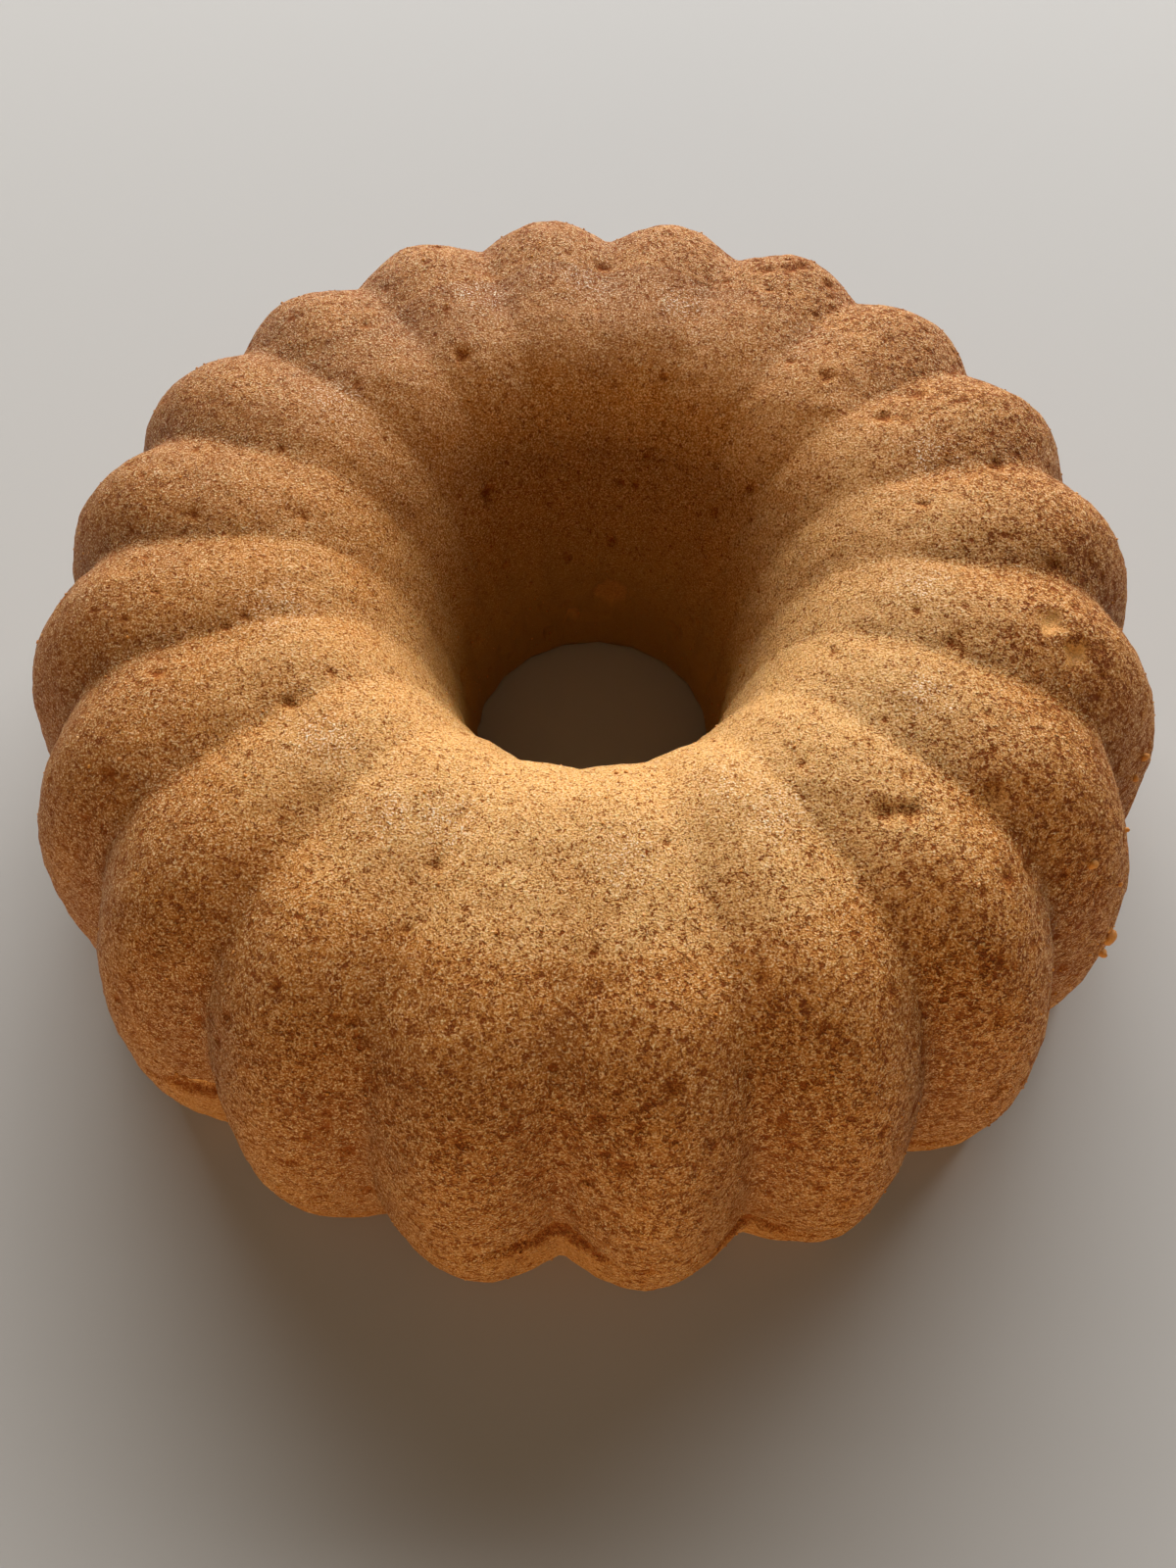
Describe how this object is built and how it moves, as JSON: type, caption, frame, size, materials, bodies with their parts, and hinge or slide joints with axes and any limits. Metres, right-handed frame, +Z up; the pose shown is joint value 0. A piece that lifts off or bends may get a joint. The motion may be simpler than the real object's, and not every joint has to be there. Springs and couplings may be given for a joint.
{
  "type": "fluted ring cake",
  "caption": "Golden brown ring cake with round lobes down its wall, a broad crown and a funnel-shaped hole, standing on its flat base; for serving or display.",
  "frame": {"origin": "on the flat base, in the middle of the outline", "axes": "+Z up through the ring, from the base to the crown; -Y towards the viewer of the picture"},
  "size_m": [0.239, 0.2396, 0.0793],
  "materials": {
    "crust": "baked golden brown crust, matte, with a fine open crumb of small darker pores; lighter on the crown, darker in the grooves"
  },
  "bodies": {
    "root": {"ring_cake": "crust"}
  },
  "joints": []
}
